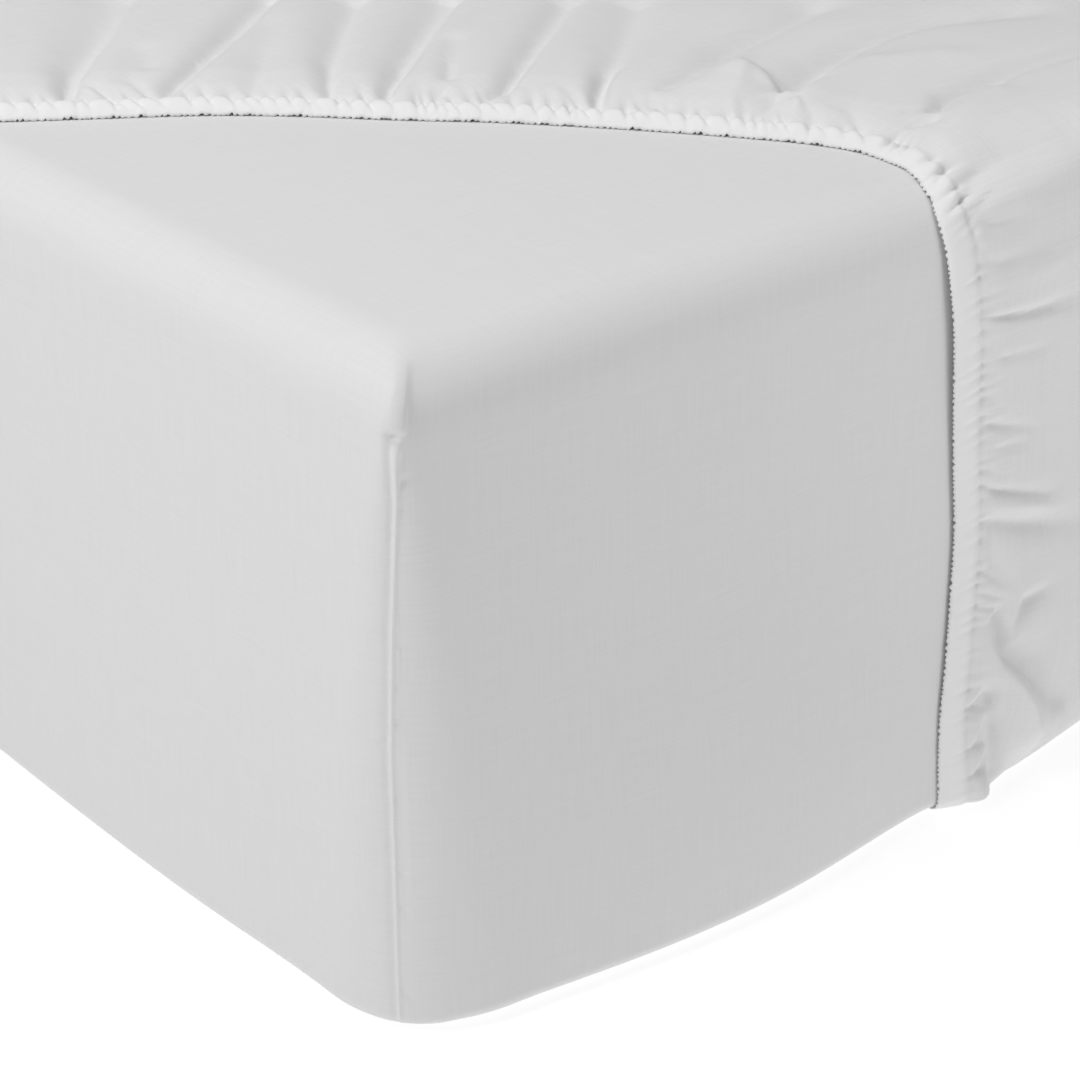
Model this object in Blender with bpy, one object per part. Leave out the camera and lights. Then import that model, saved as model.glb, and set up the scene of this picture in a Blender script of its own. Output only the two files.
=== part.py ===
"""Fitted sheet on a mattress, with one corner drawn back to show the elastic hem.

Metres, +Z up, +Y along the mattress. The origin is the middle of the resting face.
Each cloth is drawn flat, as the top with a flap beyond each edge, then wrapped over the
mattress: (u, v) is a place on the flat cloth, and w is how far it lies past the top edge.
"""
import math

import bpy
import bmesh
import numpy as np
from mathutils.geometry import delaunay_2d_cdt

# Mattress
HALF_WIDTH = 0.450
HALF_LENGTH = 1.000
DEPTH = 0.300
TOP_ROUND = 0.025
LOW_ROUND = 0.010
CORNER_HIGH = 0.024
CORNER_LOW = 0.052
FOAM_CORNER = 0.054
FOAM_TOP_ROUND = 0.028
FOAM_LOW_ROUND = 0.015

# Cloth
SHEET_RIM = 0.090
COVER_RIM = 0.130
HEM_BAND = 0.020
WELT_HIGH = 0.0022
WELT_HALF = 0.006

# Skins of the layers: how far out from the foam's side, top level, resting level
SKINS = {
    "foam": {"out": 0.0000, "top": 0.3000, "low": 0.0046},
    "cover_in": {"out": 0.0020, "top": 0.3020, "low": 0.0036},
    "cover_out": {"out": 0.0032, "top": 0.3032, "low": 0.0024},
    "sheet_in": {"out": 0.0054, "top": 0.3054, "low": 0.0016},
    "sheet_out": {"out": 0.0070, "top": 0.3070, "low": 0.0000},
}

# The hem round the bared corner, measured from that corner:
# along the foot end, along the long side; below nought is down that side
HEM = (
    ("along_foot", "along_side"),
    (0.470, -0.390),
    (0.400, -0.389),
    (0.350, -0.380),
    (0.318, -0.352),
    (0.304, -0.318),
    (0.304, -0.285),
    (0.308, -0.250),
    (0.309, -0.213),
    (0.306, -0.172),
    (0.301, -0.131),
    (0.295, -0.091),
    (0.288, -0.053),
    (0.283, -0.022),
    (0.282, 0.006),
    (0.281, 0.030),
    (0.276, 0.056),
    (0.263, 0.084),
    (0.249, 0.107),
    (0.223, 0.141),
    (0.195, 0.174),
    (0.164, 0.204),
    (0.135, 0.237),
    (0.103, 0.266),
    (0.069, 0.292),
    (0.034, 0.318),
    (0.002, 0.342),
    (-0.040, 0.357),
    (-0.100, 0.366),
    (-0.170, 0.370),
    (-0.250, 0.368),
    (-0.306, 0.368),
    (-0.352, 0.382),
    (-0.380, 0.414),
    (-0.389, 0.464),
    (-0.390, 0.534),
)

# Main folds of the gathered cloth, as soft ridges and troughs from the hem outward
FOLDS = (
    ("from_foot", "from_side", "to_foot", "to_side", "half_width", "height"),
    (0.076, 0.329, 0.168, 0.437, 0.014, -0.0070),
    (0.094, 0.316, 0.190, 0.412, 0.016, 0.0030),
    (0.113, 0.305, 0.220, 0.393, 0.013, -0.0065),
    (0.142, 0.288, 0.236, 0.378, 0.017, 0.0030),
    (0.167, 0.264, 0.256, 0.362, 0.012, -0.0060),
    (0.189, 0.245, 0.293, 0.330, 0.013, -0.0070),
    (0.212, 0.232, 0.314, 0.312, 0.015, 0.0035),
    (0.231, 0.210, 0.334, 0.295, 0.012, -0.0060),
    (0.250, 0.176, 0.313, 0.228, 0.011, -0.0060),
    (0.266, 0.152, 0.350, 0.186, 0.011, -0.0055),
    (0.350, 0.186, 0.439, 0.194, 0.013, -0.0040),
    (0.300, 0.146, 0.340, 0.160, 0.012, 0.0050),
    (0.319, 0.125, 0.392, 0.150, 0.012, -0.0065),
    (0.392, 0.150, 0.495, 0.147, 0.015, -0.0040),
    (0.330, 0.098, 0.420, 0.116, 0.016, 0.0035),
    (0.330, 0.070, 0.467, 0.080, 0.012, -0.0055),
    (0.312, 0.028, 0.408, 0.034, 0.013, -0.0045),
    (0.310, -0.061, 0.369, -0.061, 0.010, -0.0035),
    (0.318, -0.108, 0.372, -0.122, 0.010, -0.0040),
    (0.324, -0.155, 0.398, -0.180, 0.011, -0.0065),
    (0.334, -0.180, 0.400, -0.204, 0.014, 0.0030),
    (0.330, -0.206, 0.366, -0.250, 0.012, -0.0065),
    (0.366, -0.250, 0.396, -0.300, 0.015, -0.0070),
    (0.324, -0.262, 0.344, -0.300, 0.018, 0.0060),
    (-0.060, 0.376, -0.080, 0.470, 0.015, -0.0060),
    (-0.135, 0.386, -0.165, 0.480, 0.016, -0.0055),
    (-0.200, 0.388, -0.215, 0.460, 0.014, -0.0060),
    (-0.262, 0.386, -0.290, 0.450, 0.015, -0.0050),
)

# How far the gathered cloth stands off the mattress, by distance from the hem
BILLOW = (
    ("from_hem", "height"),
    (0.000, 0.0012),
    (0.020, 0.0062),
    (0.045, 0.0090),
    (0.080, 0.0080),
    (0.150, 0.0045),
    (0.250, 0.0015),
    (0.340, 0.0000),
)

# The near half of the smooth cover swells a little at its lower edges
SWELL = (
    ("side", "along", "down", "half_along", "half_down", "height"),
    ("foot", 0.240, 0.250, 0.150, 0.110, 0.0080),
    ("long", 0.260, 0.240, 0.200, 0.110, 0.0035),
)

# Places across each edge where the cloth bends
TOP_ROWS = (-0.0250, -0.0083, 0.0083, 0.0250)
LOW_ROWS = (0.2900, 0.2967, 0.3033, 0.3100)
SIDE_ROWS = (0.085, 0.155, 0.225)
COARSE = 0.120
FINE = 0.0165


def columns(table, scale=1.0):
    """A table's rows as arrays under its column names."""
    names = table[0]
    return {name: np.array([row[i] for row in table[1:]]) * scale for i, name in enumerate(names)}


def soft_step(x, low, high):
    """0 below low, 1 above high, smooth between."""
    t = np.clip((x - low) / (high - low), 0.0, 1.0)
    return t * t * (3.0 - 2.0 * t)


def past_edge(u, v):
    """Distance past the nearest top edge of the mattress, below nought on the top."""
    return -np.minimum(HALF_WIDTH - np.abs(u), HALF_LENGTH - np.abs(v))


def swell(u, v):
    """How far the cloth bows out, along x and y, low down beside the bared corner."""
    along_foot = u + HALF_WIDTH
    along_side = v + HALF_LENGTH
    bow = {"foot": 0.0, "long": 0.0}
    for side, along, down, half_along, half_down, high in SWELL[1:]:
        s, w = (along_foot, -along_side) if side == "foot" else (along_side, -along_foot)
        puff = high * np.exp(-((s - along) / half_along) ** 2 - ((w - down) / half_down) ** 2)
        bow[side] = bow[side] + puff * soft_step(w, 0.01, 0.08) * (1 - soft_step(w, 0.288, 0.309))
    return -bow["long"], -bow["foot"]


def wrap(u, v, skin):
    """Places of a skin for flat cloth places (u, v)."""
    u = np.asarray(u, float)
    v = np.asarray(v, float)
    out, top, low = skin["out"], skin["top"], skin["low"]
    from_side = HALF_WIDTH - np.abs(u)
    from_end = HALF_LENGTH - np.abs(v)
    end = from_end < from_side
    inset = np.maximum(np.minimum(from_side, from_end), 0.0)
    w = past_edge(u, v)
    # across the edge: how far in from the side face, and how high
    r_top = TOP_ROUND + out
    r_low = LOW_ROUND + out
    turn = np.clip((w + TOP_ROUND) / (2 * TOP_ROUND), 0.0, 1.0) * math.pi / 2
    bend = np.clip((w - DEPTH + LOW_ROUND) / (2 * LOW_ROUND), 0.0, 1.0) * math.pi / 2
    fall = np.clip((w - TOP_ROUND) / (DEPTH - LOW_ROUND - TOP_ROUND), 0.0, 1.0)
    inward = r_top * (1 - np.sin(turn)) + np.maximum(-w - TOP_ROUND, 0.0)
    inward = inward + r_low * (1 - np.cos(bend)) + np.maximum(w - DEPTH - LOW_ROUND, 0.0)
    drop_top = top - r_top
    drop_low = low + r_low
    height = np.where(w < TOP_ROUND, top - r_top * (1 - np.cos(turn)),
                      np.where(w < DEPTH - LOW_ROUND, drop_top + (drop_low - drop_top) * fall,
                               low + r_low * (1 - np.sin(bend))))
    # along the edge: distance from the upright corner, then round it
    leg = np.where(end, from_side, from_end) - inset
    full = np.where(end, HALF_WIDTH, HALF_LENGTH) - inset
    half_x = HALF_WIDTH + out - inward
    half_y = HALF_LENGTH + out - inward
    leg = leg / np.maximum(full, 1e-6) * np.where(end, half_x, half_y)
    upright = CORNER_HIGH + (CORNER_LOW - CORNER_HIGH) * soft_step(w, 0.0, DEPTH)
    r = np.maximum(upright + out - inward, 1e-6)
    swing = math.pi / 4 * np.clip(1 - leg / r, 0.0, 1.0)
    past = np.maximum(leg - r, 0.0)
    x = np.where(end, half_x - r + r * np.sin(swing) - past, half_x - r + r * np.cos(swing))
    y = np.where(end, half_y - r + r * np.cos(swing), half_y - r + r * np.sin(swing) - past)
    bow_x, bow_y = swell(u, v)
    return np.stack([x * np.sign(u) + bow_x, y * np.sign(v) + bow_y, height], axis=-1)


def smooth_line(table):
    """A table of two columns as a smooth line in flat cloth places."""
    c = columns(table)
    p = np.stack([c["along_foot"] - HALF_WIDTH, c["along_side"] - HALF_LENGTH], axis=1)
    dense = []
    for i in range(len(p) - 1):
        a, b, d = p[max(i - 1, 0)], p[i], p[i + 1]
        e = p[min(i + 2, len(p) - 1)]
        for t in np.linspace(0, 1, 12, endpoint=False):
            dense.append(0.5 * (2 * b + (d - a) * t + (2 * a - 5 * b + 4 * d - e) * t ** 2
                                + (3 * b - a - 3 * d + e) * t ** 3))
    dense.append(p[-1])
    return np.array(dense)


def spaced(line, step, rows):
    """A line's points a step apart, with one wherever it crosses a row."""
    run = np.concatenate([[0], np.cumsum(np.linalg.norm(np.diff(line, axis=0), axis=1))])
    w = past_edge(line[:, 0], line[:, 1])
    stops = []
    for row in rows:
        for i in np.nonzero((w[:-1] - row) * (w[1:] - row) < 0)[0]:
            stops.append(run[i] + (run[i + 1] - run[i]) * (row - w[i]) / (w[i + 1] - w[i]))
    even = np.linspace(0, run[-1], int(round(run[-1] / step)) + 1)
    clear = [s for s in even if not stops or min(abs(s - t) for t in stops) > 0.35 * step or s in (0, run[-1])]
    at = np.array(sorted(stops + clear))
    return np.stack([np.interp(at, run, line[:, k]) for k in (0, 1)], axis=1)


def from_line(places, line):
    """Distance of each place from a line, above nought on its left side."""
    a, d = line[:-1], np.diff(line, axis=0)
    away = places[:, None, :] - a[None, :, :]
    t = np.clip((away * d).sum(2) / (d * d).sum(1), 0.0, 1.0)
    gap = away - t[:, :, None] * d
    far = np.hypot(gap[:, :, 0], gap[:, :, 1])
    near = far.argmin(axis=1)
    pick = np.arange(len(places))
    best, gap, d = far[pick, near], gap[pick, near], d[near]
    return best * np.where(d[:, 0] * gap[:, 1] - d[:, 1] * gap[:, 0] < 0, -1.0, 1.0)


def loft_height(places, line):
    """How far the sheet stands off the mattress: the billow past the hem and its folds."""
    t = -from_line(places, line)
    b = columns(BILLOW)
    h = np.interp(t, b["from_hem"], b["height"])
    x = places[:, 0] + HALF_WIDTH
    y = places[:, 1] + HALF_LENGTH
    on_foot = soft_step(-y, -0.010, 0.030)
    h = h + on_foot * 0.0020 * (1 - soft_step(t, 0.02, 0.15))
    rising = soft_step(t, 0.008, 0.030)
    for row in FOLDS[1:]:
        x0, y0, x1, y1, half, high = row
        d = np.array([x1 - x0, y1 - y0])
        along = ((x - x0) * d[0] + (y - y0) * d[1]) / (d @ d)
        beyond = np.maximum(np.maximum(-along, along - 1.0), 0.0) * math.hypot(*d)
        off = ((x - x0) * d[1] - (y - y0) * d[0]) / math.hypot(*d)
        spread = half * (1 + 0.5 * np.clip(along, 0, 1))
        fade = 1 - 0.55 * np.clip(along, 0, 1)
        h = h + rising * high * fade * np.exp(-(off / spread) ** 2 - (beyond / (1.5 * half)) ** 2)
    h = np.maximum(h, 0.0004 * soft_step(t, 0.0, 0.01))
    w = past_edge(places[:, 0], places[:, 1])
    return h * (1 - soft_step(w, 0.284, 0.306))


class Pattern:
    """Places on the flat cloth, kept a fair distance apart, and the lines that join them."""

    def __init__(self):
        self.places = []
        self.lines = []

    def add(self, place, gap):
        here = np.array(place, float)
        if self.places:
            near = np.array(self.places) - here
            far = np.hypot(near[:, 0], near[:, 1])
            if far.min() < gap:
                return int(far.argmin()) if far.min() < 1e-7 else -1
        self.places.append(here)
        return len(self.places) - 1

    def join(self, chain):
        kept = [i for i in chain if i >= 0]
        self.lines += [(a, b) for a, b in zip(kept[:-1], kept[1:]) if a != b]

    def fill(self):
        flat, _, faces, _, _, _ = delaunay_2d_cdt([tuple(p) for p in self.places], self.lines, [], 1, 1e-8)
        return np.array([tuple(p) for p in flat]), [tuple(f) for f in faces]


def cloth_shell(name, rim, line, skins, lift, material, home):
    """One cloth: flat pattern, wrapped as two skins and closed round its hem."""
    pattern = Pattern()
    hem_row = DEPTH + rim

    def spacing(p):
        if line is None:
            bare = math.hypot(p[0] + HALF_WIDTH, p[1] + HALF_LENGTH)
            return float(np.interp(bare, (0.45, 0.90), (0.060, COARSE)))
        away = abs(float(from_line(np.array([p]), line)[0]))
        return float(np.interp(away, (0.10, 0.20, 0.45), (FINE, 0.042, COARSE)))

    def inside(p):
        return line is None or float(from_line(np.array([p]), line)[0]) < -0.0065

    rows = [w for w in TOP_ROWS + SIDE_ROWS + LOW_ROWS] + [hem_row]
    # the bared corner's hem and the seam inside its casing
    if line is not None:
        hem = spaced(line, FINE, rows[:-1])
        pattern.join([pattern.add(p, 1e-9) for p in hem])
        turn = np.gradient(line, axis=0)
        turn = turn / np.linalg.norm(turn, axis=1)[:, None]
        seam = line + np.stack([turn[:, 1], -turn[:, 0]], axis=1) * HEM_BAND
        pattern.join([pattern.add(p, 0.003) for p in spaced(seam, FINE, rows[:-1])[1:-1]])
    # sewn corners: both cut edges of each, then the open hem between them
    for sx in (-1, 1):
        for sy in (-1, 1):
            if line is not None and sx < 0 and sy < 0:
                continue
            downs = [w for w in rows if w > 0] + [0.345]
            for across in (0, 1):
                cut = [pattern.add((sx * HALF_WIDTH, sy * HALF_LENGTH), 1e-9)]
                for w in sorted(downs):
                    shift = (sx * w, 0.0) if across else (0.0, sy * w)
                    cut.append(pattern.add((sx * HALF_WIDTH + shift[0], sy * HALF_LENGTH + shift[1]), 1e-9))
                pattern.join(cut)
    # rows along each edge of the mattress, all with the same stations
    for across, sign in ((0, -1), (0, 1), (1, -1), (1, 1)):
        half = HALF_WIDTH if across == 0 else HALF_LENGTH
        other = HALF_LENGTH if across == 0 else HALF_WIDTH
        stations = [0.0, WELT_HALF, 0.018, 0.034, 0.056]
        while half - stations[-1] > -half + 0.056:
            s = half - stations[-1]
            level = [(s, sign * (other + w)) if across == 0 else (sign * (other + w), s) for w in (-0.02, 0.15)]
            stations.append(stations[-1] + min(spacing(p) for p in level))
        gap = (2 * half - 0.056 - 0.056) / (stations[-1] - 0.056)
        stations = [t if t <= 0.056 else 0.056 + (t - 0.056) * gap for t in stations]
        stations += [2 * half - t for t in (0.034, 0.018, WELT_HALF, 0.0)]
        for w in rows:
            chain = []
            for t in stations:
                s = half - t
                if abs(s) > half + min(w, 0.0) + 1e-9:
                    continue
                p = (s, sign * (other + w)) if across == 0 else (sign * (other + w), s)
                if w < hem_row and not inside(p):
                    continue
                bare = p[0] + HALF_WIDTH < 0.475 and p[1] < -HALF_LENGTH
                bare = bare or (p[1] + HALF_LENGTH < 0.539 and p[0] < -HALF_WIDTH)
                if w == hem_row and line is not None and bare:
                    continue
                i = pattern.add(p, 0.0035)
                if i >= 0:
                    chain.append((s, i))
            if w == hem_row and line is not None and sign < 0:
                end = (0, 0.470 - HALF_WIDTH) if across == 0 else (len(hem) - 1, 0.534 - HALF_LENGTH)
                chain.append((end[1], end[0]))
            # the row meets the hem and the casing's seam where they cross it
            side = 0 if across == 0 else 1
            for i, p in enumerate(pattern.places):
                if abs(p[1 - side] - sign * (other + w)) < 1e-6 and abs(p[side]) < half + min(w, 0.0):
                    chain.append((float(p[side]), i))
            order = sorted({i: s for s, i in chain}.items(), key=lambda pair: pair[1])
            pattern.join([i for i, _ in order])
    # the rest of the cloth
    for step in (FINE, 2 * FINE, 3.6 * FINE, 6.5 * FINE):
        odd = 0
        for v in np.arange(-HALF_LENGTH - hem_row + 0.02, HALF_LENGTH + hem_row - 0.02, step * 0.87):
            odd = 1 - odd
            for u in np.arange(-HALF_WIDTH - hem_row + 0.02, HALF_WIDTH + hem_row - 0.02, step):
                p = (u + 0.5 * step * odd, v)
                if abs(p[0]) > HALF_WIDTH - 0.01 and abs(p[1]) > HALF_LENGTH - 0.01:
                    continue
                g = spacing(p)
                if g > 1.9 * step or g < 0.6 * step or not inside(p):
                    continue
                if line is not None and float(from_line(np.array([p]), line)[0]) > -HEM_BAND - 0.008:
                    continue
                w = float(past_edge(*p))
                between = [abs(w - r) for r in rows]
                if w > -0.020 and min(between) < 0.012:
                    continue
                pattern.add(p, 0.80 * g if g < 0.05 or w > -0.02 else 1.4 * g)
    flat, faces = pattern.fill()
    inner = wrap(flat[:, 0], flat[:, 1], SKINS[skins[0]])
    outer = wrap(flat[:, 0], flat[:, 1], SKINS[skins[1]])
    height = lift(flat)
    # the raised welt of each corner seam
    w = past_edge(flat[:, 0], flat[:, 1])
    seam = (np.abs(np.abs(flat[:, 0]) - HALF_WIDTH) < 1e-6) & (np.abs(flat[:, 1]) >= HALF_LENGTH - 1e-6)
    seam = seam | ((np.abs(np.abs(flat[:, 1]) - HALF_LENGTH) < 1e-6) & (np.abs(flat[:, 0]) >= HALF_WIDTH - 1e-6))
    height = np.where(seam & (w > 0.02) & (w < 0.295), height + WELT_HIGH, height)
    # sew the cut edges together
    past = np.abs(flat[:, 0]) - HALF_WIDTH
    turned = (past > 1e-6) & (np.abs(np.abs(flat[:, 1]) - HALF_LENGTH) < 1e-6)
    sewn = np.where(turned[:, None], np.sign(flat) * np.stack([0 * past + HALF_WIDTH, HALF_LENGTH + past], 1), flat)
    _, first, twin = np.unique(np.round(sewn, 5), axis=0, return_index=True, return_inverse=True)
    twin = np.asarray(twin).reshape(-1)
    inner, outer, height = inner[first], outer[first], height[first]
    faces = [tuple(int(twin[i]) for i in f) for f in faces]
    normal = np.zeros_like(outer)
    for f in faces:
        n = np.cross(outer[f[1]] - outer[f[0]], outer[f[2]] - outer[f[0]])
        for i in f:
            normal[i] += n
    normal[:, 2] = np.maximum(normal[:, 2], 0.0)
    normal = normal / np.maximum(np.linalg.norm(normal, axis=1), 1e-12)[:, None]
    inner = inner + normal * height[:, None]
    outer = outer + normal * height[:, None]
    # the two skins, and the wall that closes the open hem
    count = len(outer)
    solid = [f for f in faces] + [(f[2] + count, f[1] + count, f[0] + count) for f in faces]
    used = {}
    for f in faces:
        for a, b in ((f[0], f[1]), (f[1], f[2]), (f[2], f[0])):
            used[(a, b)] = used.get((a, b), 0) + 1
    for a, b in list(used):
        if (b, a) not in used:
            solid.append((b, a, a + count))
            solid.append((b, a + count, b + count))
    points = np.vstack([outer, inner])
    return add_mesh(name, points, solid, material, home)


def add_mesh(name, points, faces, material, home):
    """A mesh object under its name, with one material."""
    data = bpy.data.meshes.new(name)
    data.from_pydata([tuple(p) for p in points], [], faces)
    data.update()
    data.materials.append(material)
    piece = bpy.data.objects.new(name, data)
    home.objects.link(piece)
    for face in data.polygons:
        face.use_smooth = True
    return piece


def foam_block(name, material, home):
    """The plain block: a box with its uprights, then its top and lower edges, rounded."""
    data = bpy.data.meshes.new(name)
    piece = bpy.data.objects.new(name, data)
    home.objects.link(piece)
    data.materials.append(material)
    skin = SKINS["foam"]
    block = bmesh.new()
    bmesh.ops.create_cube(block, size=1.0)
    tall = skin["top"] - skin["low"]
    bmesh.ops.scale(block, vec=(2 * HALF_WIDTH, 2 * HALF_LENGTH, tall), verts=block.verts)
    bmesh.ops.translate(block, vec=(0, 0, skin["low"] + tall / 2), verts=block.verts)
    upright = [e for e in block.edges if abs(e.verts[0].co.z - e.verts[1].co.z) > 0.1]
    bmesh.ops.bevel(block, geom=upright, offset=FOAM_CORNER, segments=6, profile=0.5, affect="EDGES")
    for level, round_off in ((skin["top"], FOAM_TOP_ROUND), (skin["low"], FOAM_LOW_ROUND)):
        rim = [e for e in block.edges if all(abs(p.co.z - level) < 1e-6 for p in e.verts)
               and any(abs(f.normal.z) < 0.5 for f in e.link_faces)]
        bmesh.ops.bevel(block, geom=rim, offset=round_off, segments=4, profile=0.5, affect="EDGES")
    bmesh.ops.recalc_face_normals(block, faces=block.faces)
    block.to_mesh(data)
    block.free()
    return piece


def plain_material(name, colour, rough):
    """A Principled material with its main values set."""
    made = bpy.data.materials.new(name)
    made.use_nodes = True
    made.diffuse_color = (*colour, 1.0)
    shader = made.node_tree.nodes["Principled BSDF"]
    shader.inputs["Base Color"].default_value = (*colour, 1.0)
    shader.inputs["Roughness"].default_value = rough
    shader.inputs["Metallic"].default_value = 0.0
    return made


for old in list(bpy.data.objects):
    bpy.data.objects.remove(old, do_unlink=True)

home = bpy.data.collections.new("fitted_sheet_on_mattress")
bpy.context.scene.collection.children.link(home)

foam_grey = plain_material("foam_off_white", (0.78, 0.77, 0.73), 0.90)
cover_white = plain_material("cover_cotton_white", (0.84, 0.84, 0.84), 0.85)
sheet_white = plain_material("sheet_cotton_white", (0.86, 0.86, 0.86), 0.85)

foam_block("mattress", foam_grey, home)
cloth_shell("mattress_cover", COVER_RIM, None, ("cover_in", "cover_out"),
            lambda places: np.zeros(len(places)), cover_white, home)
hem_line = smooth_line(HEM)
cloth_shell("fitted_sheet", SHEET_RIM, hem_line, ("sheet_in", "sheet_out"),
            lambda places: loft_height(places, hem_line), sheet_white, home)

# the origin goes to the middle of the whole outline
places = np.array([tuple(p.co) for piece in home.objects for p in piece.data.vertices])
middle = (places.min(axis=0) + places.max(axis=0)) / 2
for piece in home.objects:
    for point in piece.data.vertices:
        point.co.x -= middle[0]
        point.co.y -= middle[1]
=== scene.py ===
"""Fitted sheet on a mattress, drawn back from one corner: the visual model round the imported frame.

Metres, +Z up, +Y along the mattress, the bared corner at low X and low Y. Each cloth is cut
flat, as the top with a flap beyond each edge, and wrapped over the mattress: (u, v) is a place
on the flat cloth, w is how far it lies past the top edge, and s and t are how far along the
hem round the bared corner it lies and how far in from it.
"""
import math

import bmesh
import bpy
import numpy as np
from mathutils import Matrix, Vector
from mathutils.geometry import delaunay_2d_cdt
from mathutils.kdtree import KDTree


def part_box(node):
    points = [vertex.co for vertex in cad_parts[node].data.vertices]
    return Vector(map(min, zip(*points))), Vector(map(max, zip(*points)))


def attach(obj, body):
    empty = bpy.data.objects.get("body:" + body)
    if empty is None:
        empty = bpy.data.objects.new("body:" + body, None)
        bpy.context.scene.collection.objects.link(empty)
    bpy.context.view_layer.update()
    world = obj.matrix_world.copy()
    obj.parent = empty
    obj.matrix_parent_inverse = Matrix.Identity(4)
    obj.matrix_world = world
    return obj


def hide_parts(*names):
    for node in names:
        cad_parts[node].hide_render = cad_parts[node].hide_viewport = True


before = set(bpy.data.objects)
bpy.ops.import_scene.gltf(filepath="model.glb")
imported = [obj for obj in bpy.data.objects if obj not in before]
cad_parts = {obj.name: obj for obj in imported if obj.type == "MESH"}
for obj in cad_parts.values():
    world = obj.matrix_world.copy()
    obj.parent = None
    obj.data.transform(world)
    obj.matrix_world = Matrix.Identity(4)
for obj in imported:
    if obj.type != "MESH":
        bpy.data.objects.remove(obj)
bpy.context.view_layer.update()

# ---------------------------------------------------------------------------------------
# Mattress. A plain block of white polyurethane foam, cut to a standard single size and as
# deep as the sheet's pockets. Only its underside is bare; it lies on the cloths' rims.
# ---------------------------------------------------------------------------------------
foam_low, foam_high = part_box("mattress")
MIDDLE_X = (foam_low[0] + foam_high[0]) / 2
MIDDLE_Y = (foam_low[1] + foam_high[1]) / 2
HALF_WIDTH = 0.450
HALF_LENGTH = 1.000
DEPTH = 0.300
FOAM_CORNER = 0.080
FOAM_EDGE = 0.022
# the foam stays this far inside the cover, where the cover is drawn in
FOAM_INSET = 0.006
FOAM_LOWERED = 0.0012


def linear(code):
    """A colour's sRGB hex code as linear values with full cover."""
    parts = [int(code[i:i + 2], 16) / 255 for i in (1, 3, 5)]
    return (*[p / 12.92 if p <= 0.04045 else ((p + 0.055) / 1.055) ** 2.4 for p in parts], 1.0)


def add_node(tree, kind, settings=None, inputs=None, links=None):
    """A node of that kind, with its settings, its inputs' values and its incoming links."""
    node = tree.nodes.new(kind)
    for name, value in (settings or {}).items():
        setattr(node, name, value)
    for name, value in (inputs or {}).items():
        node.inputs[name].default_value = value
    for name, socket in (links or {}).items():
        tree.links.new(socket, node.inputs[name])
    return node


def new_material(name):
    """An empty node material and the shader that its surface takes."""
    made = bpy.data.materials.new(name)
    made.use_nodes = True
    tree = made.node_tree
    tree.nodes.clear()
    shader = add_node(tree, "ShaderNodeBsdfPrincipled")
    add_node(tree, "ShaderNodeOutputMaterial", links={"Surface": shader.outputs["BSDF"]})
    return made, tree, shader


def link_object(name, data):
    """A mesh as an object at the origin."""
    piece = bpy.data.objects.new(name, data)
    bpy.context.scene.collection.objects.link(piece)
    return piece


# Polyurethane foam, cut with a hot wire: matt, faintly warm, with open pores about 1 mm wide
foam_material, tree, shader = new_material("polyurethane_foam_cut")
spot = add_node(tree, "ShaderNodeTexCoord").outputs["Object"]
pores = add_node(tree, "ShaderNodeTexVoronoi", inputs={"Scale": 900.0}, links={"Vector": spot})
patch = add_node(tree, "ShaderNodeTexNoise", inputs={"Scale": 14.0, "Detail": 3.0},
                 links={"Vector": spot})
tint = add_node(tree, "ShaderNodeMix", {"data_type": "RGBA"}, links={"Factor": patch.outputs["Fac"]})
tint.inputs["A"].default_value = linear("#e9e6dd")
tint.inputs["B"].default_value = linear("#dfdbcf")
bump = add_node(tree, "ShaderNodeBump", inputs={"Strength": 0.35, "Distance": 0.0008},
                links={"Height": pores.outputs["Distance"]})
tree.links.new(tint.outputs["Result"], shader.inputs["Base Color"])
tree.links.new(bump.outputs["Normal"], shader.inputs["Normal"])
shader.inputs["Roughness"].default_value = 0.95

block = bmesh.new()
bmesh.ops.create_cube(block, size=1.0)
foam_size = [foam_high[i] - foam_low[i] - 2 * FOAM_INSET for i in (0, 1)]
foam_size.append(foam_high[2] - foam_low[2] - FOAM_LOWERED)
bmesh.ops.scale(block, vec=foam_size, verts=block.verts)
bmesh.ops.translate(block, vec=(MIDDLE_X, MIDDLE_Y, foam_low[2] + foam_size[2] / 2), verts=block.verts)
upright = [e for e in block.edges if abs(e.verts[0].co.z - e.verts[1].co.z) > 0.1]
bmesh.ops.bevel(block, geom=upright, offset=FOAM_CORNER, segments=16, profile=0.5, affect="EDGES")
rim = [e for e in block.edges if abs(e.verts[0].co.z - e.verts[1].co.z) < 1e-6
       and any(abs(f.normal.z) < 0.5 for f in e.link_faces)]
bmesh.ops.bevel(block, geom=rim, offset=FOAM_EDGE, segments=8, profile=0.5, affect="EDGES")
bmesh.ops.recalc_face_normals(block, faces=block.faces)
data = bpy.data.meshes.new("mattress_foam")
block.to_mesh(data)
block.free()
for face in data.polygons:
    face.use_smooth = len(face.vertices) == 4 and face.area < 0.05
data.materials.append(foam_material)
foam = link_object("mattress_foam", data)
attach(foam, "root")
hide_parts("mattress")

# ---------------------------------------------------------------------------------------
# Mattress cover. Plain white cotton, pulled smooth over the block and open underneath. Each
# upright corner is a dart sewn on the inside: its seam starts just below the tip in a small
# pucker and runs down as a narrow raised welt, with the cloth drawn a little on both sides.
# ---------------------------------------------------------------------------------------
COVER_RIM = 0.130
COVER_OUT = 0.0032
COVER_TOP = 0.3032
COVER_LOW = 0.0024
COVER_THICK = 0.0008
TOP_ROUND = 0.025
LOW_ROUND = 0.006

# the upright corners are tight under the tip and loose at the foot
CORNER = (
    ("down", "radius"),
    (-0.020, 0.003),
    (0.010, 0.003),
    (0.030, 0.006),
    (0.070, 0.016),
    (0.150, 0.030),
    (0.300, 0.052),
)

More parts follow.
